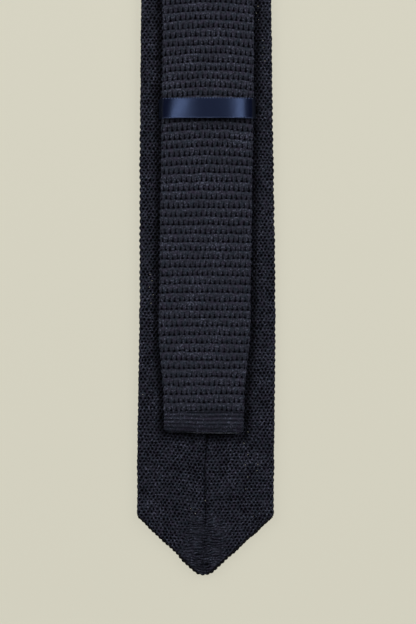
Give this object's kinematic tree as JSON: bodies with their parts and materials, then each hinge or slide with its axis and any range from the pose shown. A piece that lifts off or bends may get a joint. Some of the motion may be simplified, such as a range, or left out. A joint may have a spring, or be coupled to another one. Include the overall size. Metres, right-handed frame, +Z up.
{
  "type": "knitted necktie",
  "caption": "Knitted necktie with a pointed blade, doubled at the neck and laid face down, its square-ended tail tucked through a satin keeper loop.",
  "frame": {"origin": "under the middle of the doubled tie, on the surface it lies on", "axes": "+Y from the point of the blade to the neck fold, +X to the right seen from above, +Z up, away from the face of the blade"},
  "size_m": [0.06, 0.77, 0.0149],
  "materials": {
    "knit": "matt silk knit, very dark navy charcoal",
    "thread": "dark navy silk sewing thread",
    "satin": "navy satin ribbon with a soft lustre"
  },
  "bodies": {
    "blade": {"blade_shell": "knit", "blade_back_seam": "thread", "blade_slack_shell": "knit", "blade_slack_back_seam": "thread", "keeper_loop": "satin", "keeper_tack_left": "thread", "keeper_tack_right": "thread"},
    "blade_point": {"point_shell": "knit", "point_back_seam": "thread", "point_edge_seam": "thread"},
    "neck_fold": {"neck_fold_shell": "knit", "neck_fold_back_seam": "thread"},
    "tail": {"tail_slack_shell": "knit", "tail_slack_back_seam": "thread", "tail_shell": "knit", "tail_back_seam": "thread"},
    "tail_end": {"tail_end_shell": "knit", "tail_end_back_seam": "thread", "tail_hem_band": "knit", "tail_hem_thread": "thread"}
  },
  "joints": [
    {"name": "neck_roll", "type": "slide", "parent": "blade", "child": "neck_fold", "axis": [0, 1, 0], "range_m": [-0.012, 0.08], "deforming": ["blade_slack_shell", "blade_slack_back_seam"]},
    {"name": "tail_draw", "type": "slide", "parent": "neck_fold", "child": "tail", "axis": [0, 1, 0], "range_m": [-0.012, 0.08], "deforming": ["tail_slack_shell", "tail_slack_back_seam"]},
    {"name": "tail_end_lift", "type": "hinge", "parent": "tail", "child": "tail_end", "pos_m": [0, -0.1949, 0.0078], "axis": [-1, 0, 0], "range_deg": [0, 110]},
    {"name": "point_lift", "type": "hinge", "parent": "blade", "child": "blade_point", "pos_m": [0, -0.3592, 0.0034], "axis": [-1, 0, 0], "range_deg": [0, 80]}
  ],
  "couplings": [
    {"joint": "neck_roll", "follows": "tail_draw", "ratio": 1}
  ]
}
